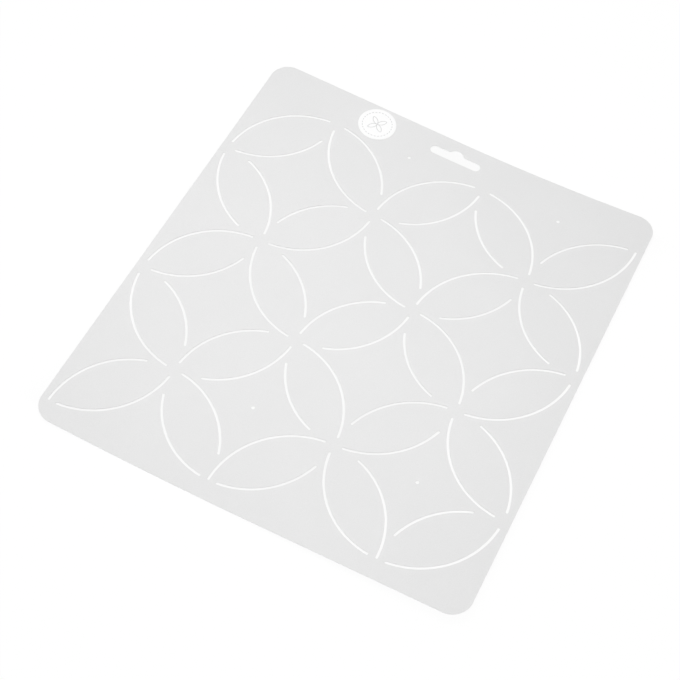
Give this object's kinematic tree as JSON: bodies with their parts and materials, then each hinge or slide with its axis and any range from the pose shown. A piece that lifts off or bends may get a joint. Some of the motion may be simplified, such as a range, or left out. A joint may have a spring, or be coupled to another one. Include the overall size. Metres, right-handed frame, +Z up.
{
  "type": "quilting template",
  "caption": "Thin frosted plastic sheet with rounded corners, cut with slots of an interlocking circle pattern for marking quilting lines, with a hang slot, pin holes and a round label.",
  "frame": {"origin": "under the middle of the sheet, at the level of the surface that it lies on", "axes": "+Z up, out of the face that carries the label; +Y towards the edge with the hang slot; +X to the right when the hang slot is at the top"},
  "size_m": [0.259, 0.288, 0.0073],
  "materials": {
    "frosted_plastic": "frosted translucent polypropylene sheet, fine matte grain",
    "adhesive": "thin clear acrylic adhesive coat",
    "label_paper": "smooth white label paper"
  },
  "bodies": {
    "root": {"stencil_sheet": "frosted_plastic", "label_adhesive": "adhesive", "label_face": "label_paper"}
  },
  "joints": []
}
